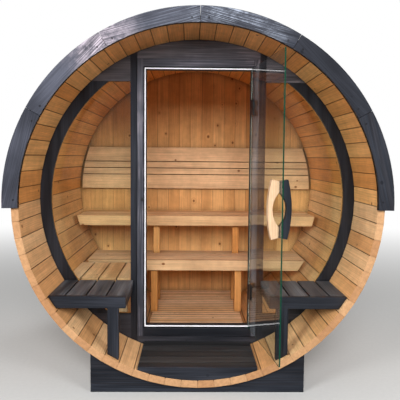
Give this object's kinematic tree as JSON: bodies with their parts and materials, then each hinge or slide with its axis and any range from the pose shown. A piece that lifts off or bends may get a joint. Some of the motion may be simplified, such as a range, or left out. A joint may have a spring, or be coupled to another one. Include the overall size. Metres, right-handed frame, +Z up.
{
  "type": "barrel sauna",
  "caption": "Round wooden barrel sauna on two cradles, with an open porch with side benches, a glass front wall and a hinged glass door.",
  "frame": {"origin": "on the ground, at the middle of the front cradle's underside", "axes": "+X to the right seen from the porch, +Y from the porch to the back wall, +Z up"},
  "size_m": [2.2266, 2.1821, 2.2219],
  "materials": {
    "natural_wood": "planed softwood, satin",
    "stained_wood": "black wood stain, matte",
    "roof_felt": "mineral roofing felt, rough",
    "band_steel": "strap steel, dull",
    "window_glass": "clear, polished",
    "door_glass": "clear toughened, green edges",
    "seal": "white seal strip, satin",
    "black_metal": "black powder coat"
  },
  "bodies": {
    "sauna": {"backrest": "natural_wood", "cradle_front": "stained_wood", "cradle_rear": "stained_wood", "door_head": "stained_wood", "door_jambs": "stained_wood", "door_seal": "seal", "door_sill": "stained_wood", "door_stop": "stained_wood", "floor_bearers": "natural_wood", "floor_grate": "natural_wood", "front_fascia": "stained_wood", "front_lower_panels": "stained_wood", "front_ring_left": "stained_wood", "front_ring_right": "stained_wood", "front_shoulders": "stained_wood", "front_toe_panel": "stained_wood", "front_top_panel": "stained_wood", "hinge_leaves": "black_metal", "latch_keep": "black_metal", "lower_bench_frame": "natural_wood", "lower_bench_seat": "natural_wood", "porch_bench_frame_left": "stained_wood", "porch_bench_frame_right": "stained_wood", "porch_bench_seat_left": "stained_wood", "porch_bench_seat_right": "stained_wood", "porch_deck": "stained_wood", "porch_deck_front": "stained_wood", "rear_fascia": "stained_wood", "rear_wall": "natural_wood", "roof_courses": "roof_felt", "side_bench_frame": "natural_wood", "side_bench_seat": "natural_wood", "side_windows": "window_glass", "staves_lower_left": "natural_wood", "staves_lower_right": "natural_wood", "staves_upper_left": "natural_wood", "staves_upper_right": "natural_wood", "steel_bands": "band_steel", "upper_bench_frame": "natural_wood", "upper_bench_seat": "natural_wood", "wall_posts": "stained_wood"},
    "door": {"door_glass": "door_glass", "door_hinge_plates": "black_metal", "door_handle_outer": "stained_wood", "door_handle_inner": "natural_wood"}
  },
  "joints": [
    {"name": "door_hinge", "type": "hinge", "parent": "sauna", "child": "door", "pos_m": [0.356, 0.385, 1.1085], "axis": [0, 0, 1], "range_deg": [-98, 0]}
  ]
}
